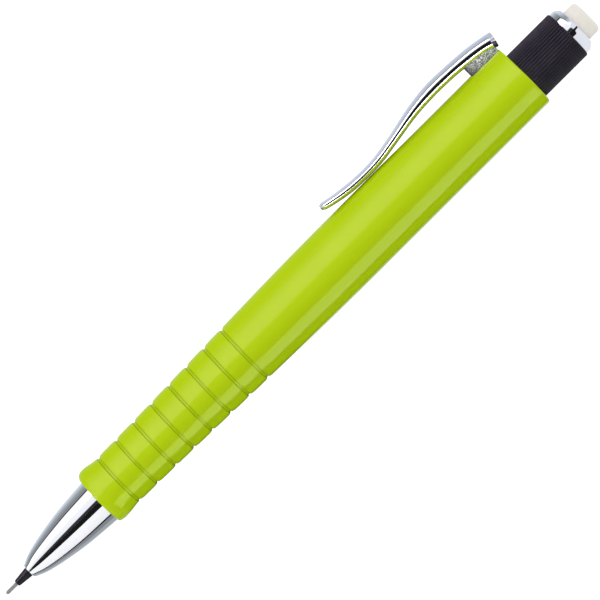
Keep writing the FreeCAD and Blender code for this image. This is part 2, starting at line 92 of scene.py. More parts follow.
# Shape of the barrel's outside, as the CAD part has it
CORNER_FRONT, FLAT_FRONT = 5.70, 5.00
LIP_AT, LIP_END = BARREL_FRONT + 1.5, BARREL_FRONT + 4.7
CORNER_LIP, FLAT_LIP = 6.14, 5.30
CORNER_MOUTH, FLAT_MOUTH = 5.05, 4.88
SWELL_START, SWELL_END = 22.0, 88.0
GROOVES, GROOVE_FIRST, GROOVE_PITCH = 8, 28.74, 4.52
GROOVE_HALF, GROOVE_DEPTH = 0.27, 0.21
GROOVE_LAST = GROOVE_FIRST + GROOVE_PITCH * (GROOVES - 1)
WALL_WIDTH = 0.10                        # of a groove's side, along the barrel
EASE_DEPTH, EASE_LENGTH = 0.09, 0.55     # fall of the surface towards a groove
WALL_SHADE_SPAN = (0.19, 0.33)                # distances from a groove's middle whose walls are painted darker: painted shade in the grooves
REAR_RIM_R = 0.4
LAND_CROWN = 0.035


# ---------------------------------------------------------------- meshes

def finish_mesh(name, mesh, body, material, smooth_angle=32.0):
    """Object from a mesh: outward normals, smooth shading with sharp creases, riding on a body."""
    work = bmesh.new()
    work.from_mesh(mesh)
    bmesh.ops.remove_doubles(work, verts=work.verts, dist=1e-7)
    bmesh.ops.recalc_face_normals(work, faces=work.faces)
    limit = math.radians(smooth_angle)
    for edge in work.edges:
        edge.smooth = len(edge.link_faces) == 2 and edge.calc_face_angle(0.0) < limit
    for face in work.faces:
        face.smooth = True
    work.to_mesh(mesh)
    work.free()
    piece = bpy.data.objects.new(name, mesh)
    bpy.context.scene.collection.objects.link(piece)
    piece.data.materials.append(material)
    if body:
        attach(piece, body)
    return piece


def skin(name, rings, body, material, closed=True, smooth_angle=32.0):
    """Quads between successive rings of points. A ring of one point is a pole."""
    verts, starts = [], []
    for ring in rings:
        starts.append(len(verts))
        verts += ring
    faces = []
    pairs = list(zip(range(len(rings)), range(1, len(rings))))
    if closed:
        pairs.append((len(rings) - 1, 0))
    for a, b in pairs:
        na, nb = len(rings[a]), len(rings[b])
        count = max(na, nb)
        for k in range(count):
            n = (k + 1) % count
            quad = [starts[a] + k % na, starts[a] + n % na, starts[b] + n % nb, starts[b] + k % nb]
            corners = list(dict.fromkeys(quad))
            if len(corners) > 2:
                faces.append(corners)
    mesh = bpy.data.meshes.new(name)
    mesh.from_pydata(verts, [], faces)
    return finish_mesh(name, mesh, body, material, smooth_angle)


def capped(rings):
    """The same rings, with a pole in the middle of the first and of the last one."""
    first, last = ([sum(ring, Vector()) / len(ring)] for ring in (rings[0], rings[-1]))
    return [first] + rings + [last]


def circle(s, radius, count):
    """Ring of points round the axis, or one point where the radius is nil."""
    if radius <= 0:
        return [place(s, 0, 0)]
    turns = [2 * math.pi * k / count for k in range(count)]
    return [place(s, -radius * math.sin(t), radius * math.cos(t)) for t in turns]


def rounded(corners, steps=6):
    """Outline with rounded corners from (station, radius, fillet) points, in order."""
    path = []
    count = len(corners)
    for k, (s, r, fillet) in enumerate(corners):
        here = Vector((s, r))
        if fillet <= 0:
            path.append(here)
            continue
        before = Vector(corners[(k - 1) % count][:2]) - here
        after = Vector(corners[(k + 1) % count][:2]) - here
        half = before.angle(after) / 2
        reach = min(fillet / math.tan(half), 0.49 * before.length, 0.49 * after.length)
        start, end = here + before.normalized() * reach, here + after.normalized() * reach
        for j in range(steps + 1):
            t = j / steps
            path.append(start * (1 - t) ** 2 + here * 2 * t * (1 - t) + end * t ** 2)
    return [(p.x, p.y) for p in path]


def lathe(name, outline, body, material, count=128, closed=True):
    """Turned piece from a closed outline, or an open one that starts and ends on the axis."""
    rings = [circle(s, r, count) for s, r in outline]
    return skin(name, rings, body, material, closed)


def smooth_line(points, steps=8):
    """Catmull-Rom curve through (station, height) points."""
    ends = [points[0]] + list(points) + [points[-1]]
    path = []
    for k in range(1, len(ends) - 2):
        a, b, c, d = (Vector(p) for p in ends[k - 1:k + 3])
        for j in range(steps):
            t = j / steps
            path.append(0.5 * (2 * b + (c - a) * t + (2 * a - 5 * b + 4 * c - d) * t * t
                               + (3 * b - a - 3 * c + d) * t ** 3))
    return [(p.x, p.y) for p in path] + [tuple(points[-1])]


def height_at(line, s):
    """Height of a smooth line at a station, between its points."""
    if s <= line[0][0]:
        return line[0][1]
    for (s0, h0), (s1, h1) in zip(line, line[1:]):
        if s <= s1:
            return h0 + (h1 - h0) * (s - s0) / (s1 - s0)
    return line[-1][1]


def blend_in(t):
    """Smooth step from 0 to 1."""
    t = min(max(t, 0.0), 1.0)
    return t * t * (3 - 2 * t)


# ---------------------------------------------------------------- materials

def node_material(name):
    """New node material with its node tree and its shader."""
    material = bpy.data.materials.new(name)
    material.use_nodes = True
    nodes, links = material.node_tree.nodes, material.node_tree.links
    return material, nodes, links, nodes["Principled BSDF"]


def noise_texture(nodes, links, scale, detail, stretch=(1, 1, 1)):
    """Noise in object space; scale is in features per metre."""
    where = nodes.new("ShaderNodeTexCoord")
    mapping = nodes.new("ShaderNodeMapping")
    mapping.inputs["Scale"].default_value = stretch
    texture = nodes.new("ShaderNodeTexNoise")
    texture.inputs["Scale"].default_value = scale
    texture.inputs["Detail"].default_value = detail
    links.new(where.outputs["Object"], mapping.inputs["Vector"])
    links.new(mapping.outputs["Vector"], texture.inputs["Vector"])
    return texture


def surface(name, colour, shade, roughness, spread=0.05, metallic=0.0, patch=400.0, grain=9000.0,
            depth=0.000004, strength=0.25, stretch=(1, 1, 1), sheen=0.0, specular=0.5):
    """Material whose colour and roughness vary a little in patches, with a fine grain as bump."""
    material, nodes, links, shader = node_material(name)
    shader.inputs["Metallic"].default_value = metallic
    shader.inputs["Sheen Weight"].default_value = sheen
    shader.inputs["Specular IOR Level"].default_value = specular
    patches = noise_texture(nodes, links, patch, 3.0, stretch)
    ramp = nodes.new("ShaderNodeValToRGB")
    ramp.color_ramp.elements[0].position = 0.35
    ramp.color_ramp.elements[1].position = 0.65
    ramp.color_ramp.elements[0].color = (*shade, 1)
    ramp.color_ramp.elements[1].color = (*colour, 1)
    links.new(patches.outputs["Fac"], ramp.inputs["Fac"])
    links.new(ramp.outputs["Color"], shader.inputs["Base Color"])
    fine = noise_texture(nodes, links, grain, 2.0, stretch)
    gloss = nodes.new("ShaderNodeMapRange")
    gloss.inputs["From Min"].default_value = 0.3
    gloss.inputs["From Max"].default_value = 0.7
    gloss.inputs["To Min"].default_value = max(roughness - spread, 0.01)
    gloss.inputs["To Max"].default_value = roughness + spread
    links.new(fine.outputs["Fac"], gloss.inputs["Value"])
    links.new(gloss.outputs["Result"], shader.inputs["Roughness"])
    bump = nodes.new("ShaderNodeBump")
    bump.inputs["Strength"].default_value = strength
    bump.inputs["Distance"].default_value = depth
    links.new(fine.outputs["Fac"], bump.inputs["Height"])
    links.new(bump.outputs["Normal"], shader.inputs["Normal"])
    return material


ALONG = (0.06, 1, 1)   # grain drawn out along the pencil
ROUND = (1, 0.12, 0.12)  # grain drawn out round the pencil, as a lathe leaves it

GREEN = surface("soft_touch_green", (0.395, 0.545, 0.0006), (0.385, 0.532, 0.0004), 0.21, 0.03,
                patch=150.0, grain=7000.0, strength=0.2, specular=0.10)
# Painted shade: a darker copy of the green for the grooves' walls, standing in for the shade that falls in the
# grooves.
GROOVE_SHADE_GREEN = surface("soft_touch_green_painted_groove_shade", (0.255, 0.352, 0.0005), (0.245, 0.340, 0.0003), 0.30,
                       0.03, patch=150.0, grain=7000.0, strength=0.2, specular=0.08)
CHROME = surface("chrome_plate", (0.86, 0.87, 0.90), (0.83, 0.84, 0.875), 0.02, 0.01, metallic=1.0,
                 patch=300.0, grain=12000.0, depth=0.0000002, strength=0.03)
# The foot's chrome is later darkened to near black towards its front: a painted dark reflection.
FOOT_CHROME_PAINTED_DARK = surface("chrome_foot_painted_dark_reflection", (0.74, 0.88, 0.66), (0.12, 0.14, 0.12), 0.40, 0.12, metallic=1.0,
                      patch=4200.0, grain=7000.0, depth=0.00006, strength=1.0)
SLEEVE_BLACK = surface("sleeve_plastic", (0.012, 0.012, 0.013), (0.010, 0.010, 0.011), 0.36, 0.03,
                       patch=900.0, grain=12000.0, depth=0.000001, strength=0.1, specular=0.16)
KNOB_BLACK = surface("knob_plastic", (0.017, 0.015, 0.021), (0.012, 0.011, 0.016), 0.36, 0.06,
                     patch=500.0, grain=11000.0, depth=0.000004, strength=0.3, specular=0.12)
ERASER_WHITE = surface("eraser_vinyl", (0.70, 0.675, 0.62), (0.675, 0.65, 0.59), 0.78, 0.08,
                       patch=700.0, grain=6500.0, depth=0.00002, strength=0.45, sheen=0.15, specular=0.25)
GRAPHITE = surface("polymer_lead", (0.24, 0.23, 0.22), (0.20, 0.195, 0.185), 0.40, 0.06,
                   patch=3000.0, grain=16000.0, depth=0.000003, strength=0.3, stretch=ALONG)
BRASS = surface("turned_brass", (0.78, 0.58, 0.27), (0.70, 0.50, 0.21), 0.24, 0.08, metallic=1.0,
                patch=2500.0, grain=26000.0, depth=0.000004, strength=0.4, stretch=ROUND)
SPRING_STEEL = surface("spring_wire", (0.62, 0.62, 0.64), (0.50, 0.50, 0.52), 0.22, 0.08, metallic=1.0,
                       patch=4000.0, grain=20000.0, depth=0.000003)
BALL_STEEL = surface("bearing_steel", (0.74, 0.75, 0.77), (0.70, 0.71, 0.73), 0.06, 0.02, metallic=1.0,
                     patch=3000.0, grain=20000.0, depth=0.000001)
RUBBER = surface("grey_rubber", (0.075, 0.075, 0.08), (0.055, 0.055, 0.06), 0.70, 0.08,
                 patch=2000.0, grain=12000.0, depth=0.00001, strength=0.4, sheen=0.1)
INNER_BLACK = surface("black_acetal", (0.030, 0.030, 0.033), (0.022, 0.022, 0.025), 0.38, 0.07,
                      patch=900.0, grain=10000.0, depth=0.000004)
INNER_NATURAL = surface("natural_acetal", (0.76, 0.77, 0.75), (0.71, 0.72, 0.70), 0.36, 0.06,
                        patch=800.0, grain=9000.0, depth=0.000004)
NODE_MATERIALS = {
    "brass": BRASS, "spring_steel": SPRING_STEEL, "ball_steel": BALL_STEEL, "rubber_grey": RUBBER,
    "inner_black": INNER_BLACK, "inner_natural": INNER_NATURAL, "graphite": GRAPHITE, "chrome": CHROME,
    "barrel_green": GREEN, "sleeve_black": SLEEVE_BLACK, "knob_black": KNOB_BLACK,
    "eraser_white": ERASER_WHITE,
}


def dress_cad_nodes():
    """Gives every carried-over CAD node the material of its slot."""
    slots = {row["node"]: row["material_slot"] for row in frame["record"]["subparts"]}
    for name, node in frame["nodes"].items():
        node.data.materials.clear()
        node.data.materials.append(NODE_MATERIALS[slots[name]])


# ---------------------------------------------------------------- barrel

ARC_STEPS, SIDE_STEPS = 30, 10
SIDE_R = 20.0   # the sides are slightly crowned


def section(s, corner, flat):
    """Points of the rounded triangle at a station, corner up: round corners joined by crowned sides."""
    rise = corner - flat
    back = SIDE_R - flat
    centre_r = rise * (2 * back - rise) / (back - 2 * rise)
    round_r = corner - centre_r
    reach = math.atan2(back * math.sin(math.pi / 3), centre_r + back / 2)
    points = []
    for k in range(3):
        middle = 2 * math.pi * k / 3
        for j in range(ARC_STEPS + 1):
            turn = middle - reach + 2 * reach * j / ARC_STEPS
            points.append((-centre_r * math.sin(middle) - round_r * math.sin(turn),
                           centre_r * math.cos(middle) + round_r * math.cos(turn)))
        side = middle + math.pi / 3
        half = math.pi / 3 - reach
        for j in range(1, SIDE_STEPS):
            turn = side - half + 2 * half * j / SIDE_STEPS
            points.append((back * math.sin(side) - SIDE_R * math.sin(turn),
                           -back * math.cos(side) + SIDE_R * math.cos(turn)))
    return [place(s, y, z) for y, z in points]


def barrel_size(s):
    """Corner and flat distances of the barrel's outside at a station, without the grooves."""
    share = min(max((s - SWELL_START) / (SWELL_END - SWELL_START), 0.0), 1.0)
    share = (1 - math.cos(math.pi * share)) / 2
    corner = CORNER_FRONT + (CORNER_REAR - CORNER_FRONT) * share
    flat = FLAT_FRONT + (FLAT_REAR - FLAT_FRONT) * share
    if s >= LIP_END:
        return corner, flat
    if s >= LIP_AT:
        share = (1 + math.cos(math.pi * (s - LIP_AT) / (LIP_END - LIP_AT))) / 2
        return corner + (CORNER_LIP - corner) * share, flat + (FLAT_LIP - flat) * share
    share = math.sqrt(max(0.0, 1 - ((LIP_AT - s) / (LIP_AT - BARREL_FRONT)) ** 2))
    return (CORNER_MOUTH + (CORNER_LIP - CORNER_MOUTH) * share,
            FLAT_MOUTH + (FLAT_LIP - FLAT_MOUTH) * share)


def from_groove(s):
    """Distance from a station to the middle of the nearest groove."""
    nearest = round((s - GROOVE_FIRST) / GROOVE_PITCH)
    nearest = min(max(nearest, 0), GROOVES - 1)
    return abs(s - GROOVE_FIRST - nearest * GROOVE_PITCH)


def groove_relief(s):
    """How far the surface lies under the plain outside: grooves, and lands that are slightly crowned."""
    away = from_groove(s)
    relief = GROOVE_DEPTH * (1 - blend_in((away - GROOVE_HALF + WALL_WIDTH / 2) / WALL_WIDTH))
    relief += EASE_DEPTH * (1 - blend_in((away - GROOVE_HALF) / EASE_LENGTH))
    if GROOVE_FIRST < s < GROOVE_LAST:
        relief -= LAND_CROWN * math.sin(math.pi * min(away / (GROOVE_PITCH / 2), 1.0) / 2)
    return relief


def barrel_stations():
    """Stations of the outside, close together where the shape turns quickly."""
    places = [BARREL_FRONT + (LIP_AT - BARREL_FRONT) * (1 - math.cos(math.pi * k / 28)) for k in range(15)]
    places += [LIP_AT + (LIP_END - LIP_AT) * k / 12 for k in range(1, 13)]
    for g in range(GROOVES):
        centre = GROOVE_FIRST + g * GROOVE_PITCH
        near = (0.0, 0.12, 0.20, 0.23, 0.26, 0.29, 0.32, 0.37, 0.45, 0.58, 0.80, 1.20, 1.70)
        places += [centre + side * d for d in near for side in (-1, 1)]
        places.append(centre + GROOVE_PITCH / 2)
    past = GROOVE_LAST + GROOVE_PITCH / 2
    places += [past + (SWELL_END - past) * k / 16 for k in range(1, 17)]
    places += [SWELL_END + (BARREL_REAR - REAR_RIM_R - SWELL_END) * k / 10 for k in range(1, 11)]
    places = sorted(places)
    closest = 0.012
    kept = [places[0]]
    for s in places[1:]:
        if s - kept[-1] > closest:
            kept.append(s)
    return kept


def bore_ring(s, radius, like):
    """Circle whose points stand at the same angles as another ring's."""
    ring = []
    for p in like:
        turn = math.atan2(p.y, p.z - AXIS_Z)
        ring.append(place(s, radius * math.sin(turn), radius * math.cos(turn)))
    return ring


def make_barrel():
    """Green shell: the grooved outside, the rounded rear rim and the stepped bore."""
    rings = []
    for s in barrel_stations():
        corner, flat = barrel_size(s)
        relief = groove_relief(s) if s > LIP_AT else 0.0
        rings.append(section(s, corner - relief, flat - relief))
    for k in range(1, 9):
        turn = math.pi / 2 * k / 8
        s = BARREL_REAR - REAR_RIM_R * (1 - math.sin(turn))
        inset = REAR_RIM_R * (1 - math.cos(turn))
        rings.append(section(s, CORNER_REAR - inset, FLAT_REAR - inset))
    like = rings[-1]
    bore = [(BARREL_REAR, 5.32), (BARREL_REAR - 0.06, 5.22), (BARREL_REAR - 0.2, 5.15),
            (108.0, 5.15), (108.0, 4.4), (52.0, 4.4), (52.0, 3.0), (50.2, 3.0), (50.2, 3.95),
            (24.25, 3.95), (24.25, 4.66), (BARREL_FRONT + 0.25, 4.66), (BARREL_FRONT + 0.06, 4.70),
            (BARREL_FRONT, 4.80)]
    rings += [bore_ring(s, radius, like) for s, radius in bore]
    piece = skin("barrel_shell", rings, "barrel", GREEN, smooth_angle=38.0)
    # Faces on the grooves' walls take the darker green: painted shade in the grooves.
    piece.data.materials.append(GROOVE_SHADE_GREEN)
    longest = 0.3 * MM    # longer faces belong to the bore
    for face in piece.data.polygons:
        along = [piece.data.vertices[v].co.x for v in face.vertices]
        if (max(along) - min(along) < longest
                and WALL_SHADE_SPAN[0] < from_groove(station(face.center.x)) < WALL_SHADE_SPAN[1]):
            face.material_index = 1
    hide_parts("barrel")


# ---------------------------------------------------------------- nose and sliding tip

def make_nose_cone():
    """Chrome cone: an ogive with a rounded front rim, and the threaded tail inside the barrel."""
    ogive = smooth_line([(5.95, 1.50), (8.0, 2.36), (11.4, 3.18), (16.7, 4.02), (23.3, 4.57)], 14)
    rim = [(CONE_FRONT, 1.02), (CONE_FRONT, 1.24), (CONE_FRONT + 0.03, 1.33), (CONE_FRONT + 0.10, 1.41)]
    tail = [(24.2, 4.60), (24.2, 3.60)]
    crests = int((CONE_TAIL - 25.0) / 0.75)
    for k in range(crests):
        tail += [(25.0 + 0.75 * k, 3.62), (25.25 + 0.75 * k, 3.84), (25.45 + 0.75 * k, 3.84)]
    tail += [(CONE_TAIL - 0.3, 3.62), (CONE_TAIL, 3.5), (CONE_TAIL, 3.3), (20.9, 3.3), (20.9, 2.0),
             (8.7, 2.0), (8.7, 1.02)]
    piece = lathe("nose_cone_shell", rim + ogive + tail, "barrel", CHROME, 192)
    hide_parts("nose_cone")


def make_tip_sleeve():
    """Turned sleeve with a bore for the lead."""
    bore = 0.42
    full = CONE_FRONT - 0.3
    corners = [(SLEEVE_FRONT, bore, 0.03), (SLEEVE_FRONT, 0.60, 0.16), (SLEEVE_FRONT + 0.45, 0.69, 0.2),
               (full, 0.95, 0.3), (SLEEVE_REAR, 0.95, 0.05), (SLEEVE_REAR, bore, 0)]
    piece = lathe("tip_sleeve_turned", rounded(corners), "slider", SLEEVE_BLACK, 96)
    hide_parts("tip_sleeve")


def make_lead():
    """Lead with a worn, slightly rounded point."""
    rear = station(lead_high.x)
    outline = [(0, 0), (0, 0.17), (0.03, 0.215), (0.30, 0.342), (0.36, 0.35), (rear - 0.03, 0.35),
               (rear, 0.31), (rear, 0)]
    piece = lathe("lead_stick", outline, "lead", GRAPHITE, 48, closed=False)
    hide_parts("lead")


# ---------------------------------------------------------------- knob, collar and eraser

def fluted_ring(s, radius, depth):
    """Ring with narrow valleys between rounded flutes."""
    flutes, steps = 55, 10
    ring = []
    for k in range(flutes * steps):
        turn = 2 * math.pi * k / (flutes * steps)
        share = abs((k % steps) / steps - 0.5) * 2
        dip = depth * share ** 2.2
        ring.append(place(s, -(radius - dip) * math.sin(turn), (radius - dip) * math.cos(turn)))
    return ring


def make_knob():
    """Fluted push knob: rounded at both ends, with a plain bore."""
    depth, edge, full = 0.17, 0.28, 1.4    # of the flutes, of the rear rounding, and where the flutes run full
    rings = []
    for s, inset, cut in ((0, 0.40, 0), (0.1, 0.22, 0.3), (edge, 0.05, 0.8), (0.6, 0.0, 1), (full, 0.0, 1)):
        rings.append(fluted_ring(KNOB_FRONT + s, KNOB_R - inset, depth * cut))
    length = KNOB_REAR - KNOB_FRONT
    for k in range(1, 9):
        rings.append(fluted_ring(KNOB_FRONT + full + (length - 2.0) * k / 8, KNOB_R, depth))
    for k in range(1, 7):
        turn = math.pi / 2 * k / 6
        s = KNOB_REAR - edge * (1 - math.sin(turn))
        inset = edge * (1 - math.cos(turn))
        rings.append(fluted_ring(s, KNOB_R - inset, depth * (1 - 0.6 * k / 6)))
    count = len(rings[0])
    rings += [circle(KNOB_REAR, SPIGOT_R, count), circle(KNOB_FRONT, SPIGOT_R, count)]
    piece = skin("knob_fluted", rings, "knob", KNOB_BLACK, smooth_angle=50.0)
    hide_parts("knob")


def make_collar():
    """Chrome ring with a rounded shoulder, and a spigot inside the knob."""
    hole = 3.42
    corners = [(COLLAR_FRONT, hole, 0.05), (COLLAR_FRONT, SPIGOT_R, 0.05), (KNOB_REAR, SPIGOT_R, 0),
               (KNOB_REAR, 4.72, 0.05), (KNOB_REAR + 0.95, 4.75, 0.5), (COLLAR_REAR, 4.0, 0.28),
               (COLLAR_REAR, hole, 0.10)]
    piece = lathe("collar_ring", rounded(corners, 8), "knob", CHROME, 160)
    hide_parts("collar")


def make_eraser():
    """Eraser stick with a rounded, slightly worn end."""
    neck, body, longest = 3.0, 3.33, 0.35
    corners = [(ERASER_FRONT, neck, 0.1), (ERASER_FRONT + 2.0, neck, 0.1), (ERASER_FRONT + 2.15, body, 0.1),
               (ERASER_REAR, body, 0.95)]
    outline = [(ERASER_FRONT, 0)] + rounded([(ERASER_FRONT, 0, 0)] + corners + [(ERASER_REAR, 0, 0)], 8)[1:]
    dense = []
    for (s0, r0), (s1, r1) in zip(outline, outline[1:]):
        parts = max(1, int(math.hypot(s1 - s0, r1 - r0) / longest))
        dense += [(s0 + (s1 - s0) * j / parts, r0 + (r1 - r0) * j / parts) for j in range(parts)]
    dense.append(outline[-1])
    piece = lathe("eraser_stick", dense, "eraser", ERASER_WHITE, 112, closed=False)
    worn_length, worn_depth, rim = 3, 0.018 * MM, 2 * MM
    for vertex in piece.data.vertices:
        if station(vertex.co.x) > ERASER_REAR - worn_length:
            lumps = noise.noise(vertex.co * 900.0) + 0.5 * noise.noise(vertex.co * 2400.0)
            out = Vector((0, vertex.co.y, vertex.co.z - AXIS_Z))
            wear = worn_depth * lumps
            vertex.co += out.normalized() * wear if out.length > rim else Vector((wear, 0, 0))
    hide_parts("eraser")


# ---------------------------------------------------------------- clip

CLIP_TOP = [(88.15, 9.95), (90.0, 9.58), (92.3, 9.20), (96.4, 8.80), (100.8, 8.85), (105.7, 9.62),
            (111.7, 10.9), (116.5, 11.48), (121.4, 11.4), (126.2, 11.07), (129.8, 10.5), (131.6, 10.1)]
CLIP_UNDER = [(88.15, 8.45), (90.0, 7.98), (92.3, 7.50), (94.8, 7.16), (98.6, 7.02), (102.0, 7.18),
              (105.7, 7.75), (111.7, 8.68), (116.5, 8.97), (121.4, 8.88), (125.0, 8.52),
              (127.4, 8.20), (129.3, 7.82), (131.6, 7.20)]
CLIP_FRONT_HALF, CLIP_REAR_HALF = 2.05, 2.5

# Half of the clip's outside across its width, from the lower edge up: shares of half width and height
CLIP_HALF_OUTLINE = [(0.66, 0.0), (0.74, 0.05), (0.83, 0.13), (0.91, 0.23), (0.965, 0.33), (0.992, 0.42),
                     (1.0, 0.50), (0.988, 0.58), (0.95, 0.655), (0.89, 0.70), (0.84, 0.725), (0.80, 0.745),
                     (0.62, 0.83), (0.42, 0.91), (0.22, 0.97), (0.08, 0.995)]


def clip_section(s, top, under, half, hollow):
    """Closed outline across the clip: bevelled and crowned outside, and a channel of a given depth beneath."""
    tall = top - under
    outer = [(-half * y, under + tall * z) for y, z in CLIP_HALF_OUTLINE]
    points = outer + [(0.0, top)] + [(-y, z) for y, z in reversed(outer)]
    inner = half * 0.58
    roof = under + hollow * (tall - 0.5)
    points += [(inner, under), (inner * 0.98, under + 0.3 * (roof - under)),
               (inner * 0.94, under + 0.8 * (roof - under)), (inner * 0.7, roof)]
    points += [(inner * -0.7, roof), (inner * -0.94, under + 0.8 * (roof - under)),
               (inner * -0.98, under + 0.3 * (roof - under)), (-inner, under)]
    return [place(s, y, z) for y, z in points]


def end_share(distance, reach):
    """Share of full size at a distance from a rounded end."""
    t = min(max(distance / reach, 0.0), 1.0)
    return math.sqrt(max(0.0, 1 - (1 - t) ** 2))


def make_clip():
    """Formed clip: front end rounded over, rear end chamfered in plan and undercut."""
    top, under = smooth_line(CLIP_TOP, 10), smooth_line(CLIP_UNDER, 10)
    first, last = CLIP_TOP[0][0], CLIP_TOP[-1][0]
    nose, chamfer, edge = 0.9, 1.0, 0.35
    nose_fall, chamfer_depth = 0.375, 0.95
    places = [first + nose * (1 - math.cos(math.pi * k / 20)) for k in range(1, 11)]
    places += [first + nose + (last - chamfer - first - nose) * k / 72 for k in range(1, 73)]
    places += [last - chamfer + (chamfer - edge) * k / 4 for k in range(1, 5)]
    places += [last - edge * (1 - math.sin(math.pi * k / 16)) for k in range(1, 9)]
    rings = []
    for s in places:
        high, low = height_at(top, s), height_at(under, s)
        nose_share, end = end_share(s - first, nose), end_share(last - s, edge)
        high -= (high - low) * nose_fall * (1 - nose_share) + 0.22 * (1 - end)
        low += (high - low) * nose_fall * (1 - nose_share) + 0.10 * (1 - end)
        half = CLIP_FRONT_HALF + (CLIP_REAR_HALF - CLIP_FRONT_HALF) * (s - first) / (last - first)
        half *= end_share(s - first + 0.15, 1.9)
        half -= chamfer_depth * max(0.0, 1 - (last - s) / chamfer)
        hollow = 0.9 * blend_in((s - first - 1.0) / 2.5) * blend_in((last - 1.6 - s) / 0.6)
        rings.append(clip_section(s, high, low, half, 0.02 + hollow))
    rings = capped(rings)
    reach, undercut, crest = 3.0, 0.22, place(last, 0, CLIP_TOP[-1][1])
    for point in (point for ring in rings for point in ring):
        share = blend_in((point.x - crest.x) / (reach * MM) + 1)
        point.x -= undercut * share * (crest.z - point.z)
    piece = skin("clip_formed", rings, "clip", CHROME, closed=False, smooth_angle=36.0)
    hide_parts("clip")


def paint_dark_reflection_front(material, start, end):
    """Painted reflection: let a material's colour rise from near black between two stations, standing in for a
    dark reflection.
    """
    nodes, links = material.node_tree.nodes, material.node_tree.links
    base = nodes["Principled BSDF"].inputs["Base Color"]
    tone = base.links[0].from_socket
    where = nodes.new("ShaderNodeTexCoord")
    split = nodes.new("ShaderNodeSeparateXYZ")
    share = nodes.new("ShaderNodeMapRange")
    links.new(where.outputs["Object"], split.inputs["Vector"])
    links.new(split.outputs["X"], share.inputs["Value"])
    share.inputs["From Min"].default_value = place(start, 0, 0).x
    share.inputs["From Max"].default_value = place(end, 0, 0).x
    share.inputs["To Min"].default_value = 0.25
    links.new(mix_node(nodes, links, share.outputs["Result"], (0.008, 0.009, 0.010, 1), tone), base)


def make_clip_foot():
    """Cast block that carries the clip, on the barrel's ridge, with a tongue down into its wall."""
    low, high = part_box("clip_foot")
    half, top = (high.y - low.y) / 2 / MM - 0.02, (high.z - AXIS_Z) / MM
    soft, front_height, front_slope = 0.22, 8.62, 1.25
    rings = []
    steps = 26
    for k in range(steps + 1):
        s = FOOT_FRONT + (FOOT_REAR - FOOT_FRONT) * k / steps
        from_front, from_rear = s - FOOT_FRONT, FOOT_REAR - s
        worn = 1 - end_share(min(from_front, from_rear), soft)
        roof = min(top, front_height + front_slope * from_front) - 0.10 * worn
        wide = half - soft * worn
        outline = []
        for y, z in ((-wide, None), (-wide, roof - soft), (-wide + 0.3 * soft, roof - 0.3 * soft),
                     (-wide + soft, roof), (wide - soft, roof), (wide - 0.3 * soft, roof - 0.3 * soft),
                     (wide, roof - soft), (wide, None)):
            outline.append((y, z if z is not None else seat_height(y)))
        outline += [(wide * t, seat_height(wide * t)) for t in (0.66, 0.33, 0, -0.33, -0.66)]
        rings.append([place(s, y, z) for y, z in outline])
    rings = capped(rings)
    piece = skin("clip_foot_cast", rings, "barrel", FOOT_CHROME_PAINTED_DARK, closed=False, smooth_angle=50.0)
    tongue = bmesh.new()
    tongue.from_mesh(piece.data)
    t_low, t_high = place(125.0, -0.8, low_of_tongue()), place(129.0, 0.8, 7.6)
    box = bmesh.ops.create_cube(tongue, size=1.0)["verts"]
    for vertex in box:
        vertex.co = Vector(tuple(a + (b - a) * (c + 0.5) for a, b, c in zip(t_low, t_high, vertex.co)))
    tongue.to_mesh(piece.data)
    tongue.free()
    # Painted reflection: the foot's chrome fades to near black towards its front, standing in for a dark
    # reflection.
    paint_dark_reflection_front(FOOT_CHROME_PAINTED_DARK, FOOT_FRONT, FOOT_FRONT + 2.4)
    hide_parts("clip_foot")


def low_of_tongue():
    """Height of the foot's lowest point, the end of its tongue."""
    return (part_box("clip_foot")[0].z - AXIS_Z) / MM


def seat_height(y):
    """Height of the barrel's ridge at a distance from its middle, a hair inside the surface."""
    rise, back = CORNER_REAR - FLAT_REAR, SIDE_R - FLAT_REAR
    centre_r = rise * (2 * back - rise) / (back - 2 * rise)
    round_r = CORNER_REAR - centre_r
    return centre_r + math.sqrt(round_r ** 2 - y ** 2) - 0.02


# ---------------------------------------------------------------- springs

def make_spring(name, node, wire, turns):
    """Compression spring wound along its node's span between the two bodies that it pushes apart, its pitch
    varying along its length; it is baked in place.
    """
    front, rear = span(node)
    low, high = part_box(node)
    mean = (high.z - low.z) / 2 / MM - wire
    steps, around_steps = 40, 12
    total = turns * steps
    rings = []
    for k in range(total + 1):
        t = k / total
        lift = t + 0.055 * math.sin(2 * math.pi * t)
        s = front + wire + (rear - front - 2 * wire) * lift
        turn = 2 * math.pi * turns * t
        out = Vector((0, -math.sin(turn), math.cos(turn)))
        centre = place(s, 0, 0) + out * mean * MM
        ring = []
        for j in range(around_steps):
            a = 2 * math.pi * j / around_steps
            ring.append(centre + (out * math.cos(a) + Vector((1, 0, 0)) * math.sin(a)) * wire * MM)
        rings.append(ring)
    piece = skin(name, capped(rings), None, SPRING_STEEL, closed=False)
    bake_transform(piece)
    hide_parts(node)


# ---------------------------------------------------------------- stage

def make_floor():
    """Light table: a pale floor that gives off half of its light."""
    half = 6.0
    mesh = bpy.data.meshes.new("studio_floor")
    low = -0.00002
    mesh.from_pydata([(-half, -half, low), (half, -half, low), (half, half, low), (-half, half, low)],
                     [], [(0, 1, 2, 3)])
    floor = bpy.data.objects.new("studio_floor", mesh)
    bpy.context.scene.collection.objects.link(floor)
    paper = surface("light_table", (0.46, 0.46, 0.46), (0.45, 0.45, 0.45), 0.85, 0.03,
                    patch=3.0, grain=900.0, depth=0.00001, strength=0.1, specular=0.0)
    glow = paper.node_tree.nodes["Principled BSDF"]
    glow.inputs["Emission Color"].default_value = (1, 1, 1, 1)
    glow.inputs["Emission Strength"].default_value = 0.60
    floor.data.materials.append(paper)


